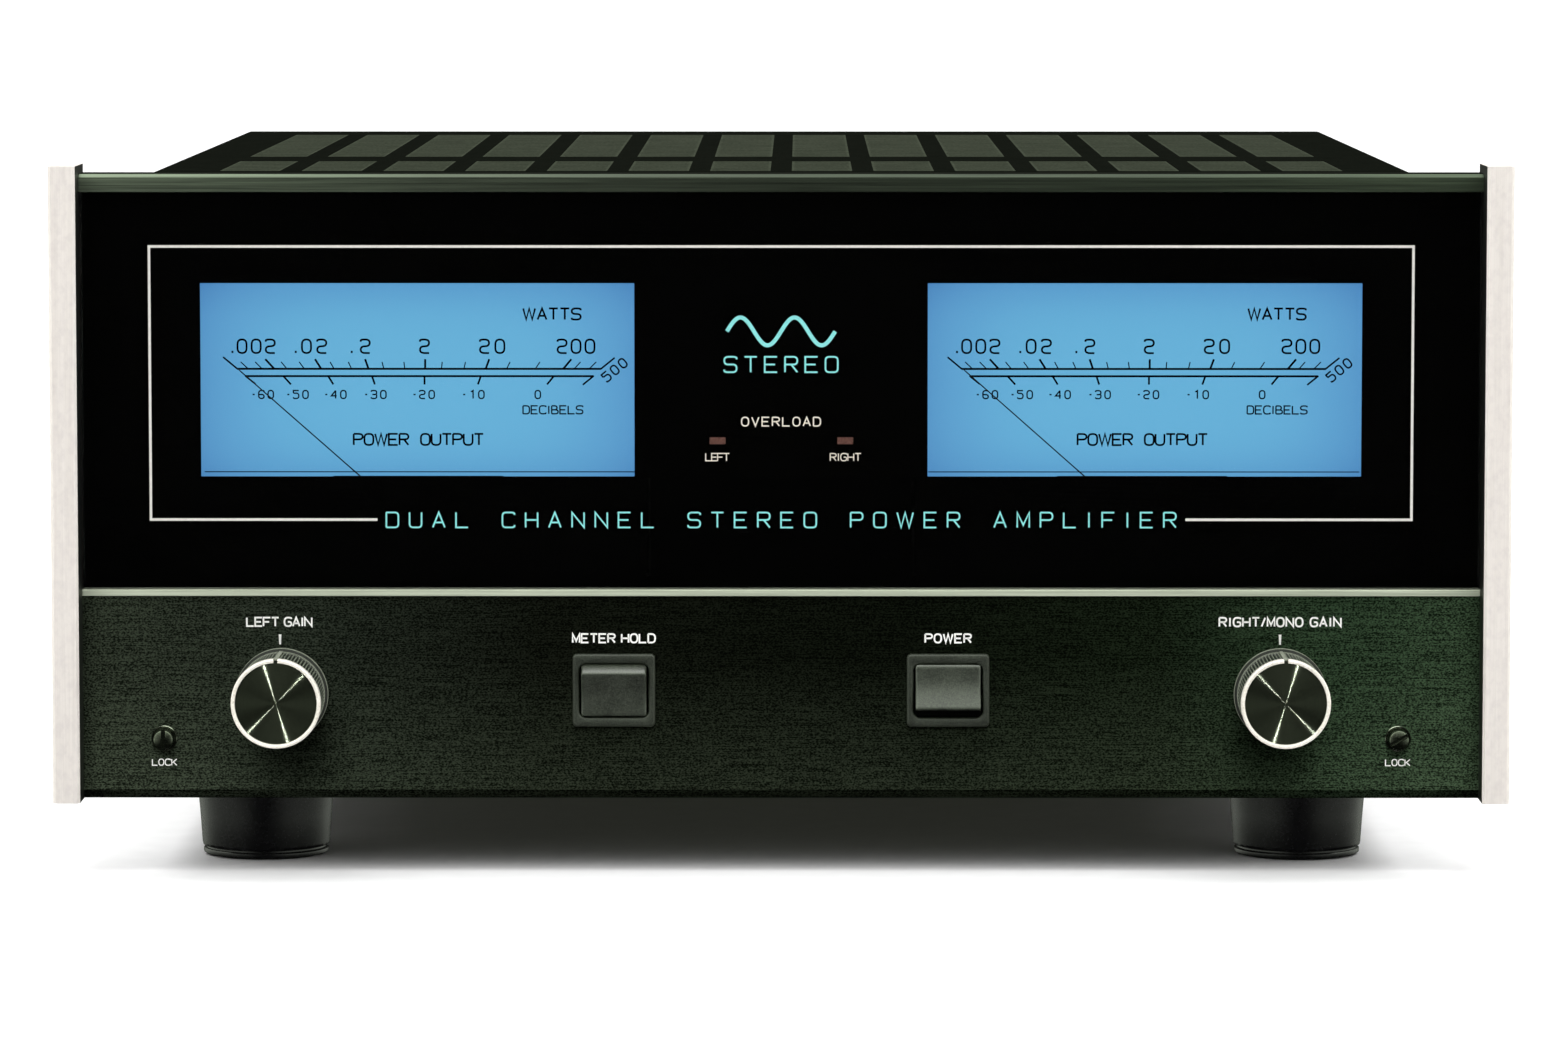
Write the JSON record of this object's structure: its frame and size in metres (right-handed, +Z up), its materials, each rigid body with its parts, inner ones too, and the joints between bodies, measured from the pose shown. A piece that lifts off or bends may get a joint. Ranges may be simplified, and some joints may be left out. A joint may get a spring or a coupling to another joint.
{
  "type": "power amplifier",
  "caption": "Full-width stereo power amplifier: black glass front with needle meters, gain knobs, rocker switches, silver end caps, vented cover and four feet.",
  "frame": {"origin": "on the ground, under the middle of the whole amplifier", "axes": "+X to the right as seen from the front, front faces -Y, +Z up"},
  "size_m": [0.416, 0.405, 0.203],
  "materials": {
    "silver_aluminium": "satin anodised",
    "brushed_black": "brushed, black anodised with a green-grey cast",
    "front_glass": "polished plate glass",
    "mask_black": "black film behind the glass",
    "grey_plastic": "moulded",
    "meter_blue": "printed, lit from behind",
    "needle_black": "painted",
    "zinc_steel": "zinc plated",
    "lamp_glass": "clear",
    "led_red": "unlit red lens",
    "knob_black": "spun and knurled, black anodised with a bright ring",
    "shaft_steel": "turned",
    "switch_black": "satin moulded",
    "stud_black": "black oxide",
    "chassis_black": "fine textured black enamel",
    "vent_grey": "perforated and painted",
    "foot_black": "glossy moulded",
    "pad_rubber": "matt",
    "gold_plate": "gold plated",
    "cap_black": "moulded",
    "cap_red": "moulded",
    "transformer_steel": "varnished",
    "capacitor_sleeve": "shrink sleeve",
    "sink_black": "black anodised",
    "transistor_steel": "nickel plated",
    "board_green": "circuit board",
    "wire_maroon": "insulation sleeve"
  },
  "bodies": {
    "root": {"end_cap_left": "silver_aluminium", "end_cap_right": "silver_aluminium", "top_rail": "brushed_black", "glass_panel": "front_glass", "glass_mask": "mask_black", "accent_strip": "silver_aluminium", "lower_panel": "brushed_black", "left_meter_housing": "grey_plastic", "right_meter_housing": "grey_plastic", "left_meter_face": "meter_blue", "right_meter_face": "meter_blue", "meter_movements": "zinc_steel", "meter_lamps": "lamp_glass", "overload_leds": "led_red", "gain_pots": "zinc_steel", "meter_hold_housing": "switch_black", "power_switch_housing": "switch_black", "front_subpanel": "zinc_steel", "chassis_floor": "chassis_black", "left_side_panel": "chassis_black", "right_side_panel": "chassis_black", "rear_panel": "chassis_black", "top_cover": "chassis_black", "vent_screen": "vent_grey", "case_screws": "stud_black", "foot_front_left": "foot_black", "foot_front_right": "foot_black", "foot_rear_left": "foot_black", "foot_rear_right": "foot_black", "foot_pads": "pad_rubber", "input_jacks": "gold_plate", "speaker_posts": "gold_plate", "power_inlet": "cap_black", "fuse_holder": "cap_black", "mode_switch_body": "zinc_steel", "power_transformer": "transformer_steel", "filter_capacitors": "capacitor_sleeve", "left_heat_sink": "sink_black", "right_heat_sink": "sink_black", "output_transistors": "transistor_steel", "driver_boards": "board_green", "input_board": "board_green", "supply_board": "board_green", "wiring_harness": "wire_maroon"},
    "left_knob": {"left_gain_knob": "knob_black", "left_gain_shaft": "shaft_steel"},
    "right_knob": {"right_gain_knob": "knob_black", "right_gain_shaft": "shaft_steel"},
    "left_meter_needle": {"left_needle": "needle_black"},
    "right_meter_needle": {"right_needle": "needle_black"},
    "meter_hold_key": {"meter_hold_rocker": "switch_black"},
    "power_key": {"power_rocker": "switch_black"},
    "left_lock": {"left_lock_stud": "stud_black"},
    "right_lock": {"right_lock_stud": "stud_black"},
    "post_cap_1": {"post_cap_1": "cap_black"},
    "post_cap_2": {"post_cap_2": "cap_red"},
    "post_cap_3": {"post_cap_3": "cap_black"},
    "post_cap_4": {"post_cap_4": "cap_red"},
    "fuse_cap": {"fuse_cap": "cap_black"},
    "mode_slider": {"mode_slider": "cap_black"}
  },
  "joints": [
    {"name": "left_gain_turn", "type": "hinge", "parent": "root", "child": "left_knob", "pos_m": [-0.143, -0.1755, 0.0515], "axis": [0, 1, 0], "range_deg": [-150, 150]},
    {"name": "right_gain_turn", "type": "hinge", "parent": "root", "child": "right_knob", "pos_m": [0.143, -0.1755, 0.0515], "axis": [0, 1, 0], "range_deg": [-150, 150]},
    {"name": "left_needle_swing", "type": "hinge", "parent": "root", "child": "left_meter_needle", "pos_m": [-0.10245, -0.1651, 0.0967], "axis": [0, 1, 0], "range_deg": [0, 97], "stiffness_Nm_per_rad": 0.0002},
    {"name": "right_needle_swing", "type": "hinge", "parent": "root", "child": "right_meter_needle", "pos_m": [0.10585, -0.1651, 0.0967], "axis": [0, 1, 0], "range_deg": [0, 97], "stiffness_Nm_per_rad": 0.0002},
    {"name": "meter_hold_tilt", "type": "hinge", "parent": "root", "child": "meter_hold_key", "pos_m": [-0.0479, -0.1732, 0.0525], "axis": [1, 0, 0], "range_deg": [-22, 0]},
    {"name": "power_tilt", "type": "hinge", "parent": "root", "child": "power_key", "pos_m": [0.0479, -0.1732, 0.0525], "axis": [1, 0, 0], "range_deg": [0, 22]},
    {"name": "left_lock_turn", "type": "hinge", "parent": "root", "child": "left_lock", "pos_m": [-0.177, -0.1755, 0.0385], "axis": [0, 1, 0], "range_deg": [0, 90]},
    {"name": "right_lock_turn", "type": "hinge", "parent": "root", "child": "right_lock", "pos_m": [0.177, -0.1755, 0.0385], "axis": [0, 1, 0], "range_deg": [0, 90]},
    {"name": "post_cap_1_turn", "type": "hinge", "parent": "root", "child": "post_cap_1", "pos_m": [-0.035, 0.1935, 0.075], "axis": [0, 1, 0], "continuous": true},
    {"name": "post_cap_2_turn", "type": "hinge", "parent": "root", "child": "post_cap_2", "pos_m": [-0.016, 0.1935, 0.075], "axis": [0, 1, 0], "continuous": true},
    {"name": "post_cap_3_turn", "type": "hinge", "parent": "root", "child": "post_cap_3", "pos_m": [0.016, 0.1935, 0.075], "axis": [0, 1, 0], "continuous": true},
    {"name": "post_cap_4_turn", "type": "hinge", "parent": "root", "child": "post_cap_4", "pos_m": [0.035, 0.1935, 0.075], "axis": [0, 1, 0], "continuous": true},
    {"name": "fuse_cap_turn", "type": "hinge", "parent": "root", "child": "fuse_cap", "pos_m": [0.086, 0.1875, 0.075], "axis": [0, 1, 0], "range_deg": [-90, 0]},
    {"name": "mode_slide", "type": "slide", "parent": "root", "child": "mode_slider", "axis": [1, 0, 0], "range_m": [0, 0.007]}
  ]
}
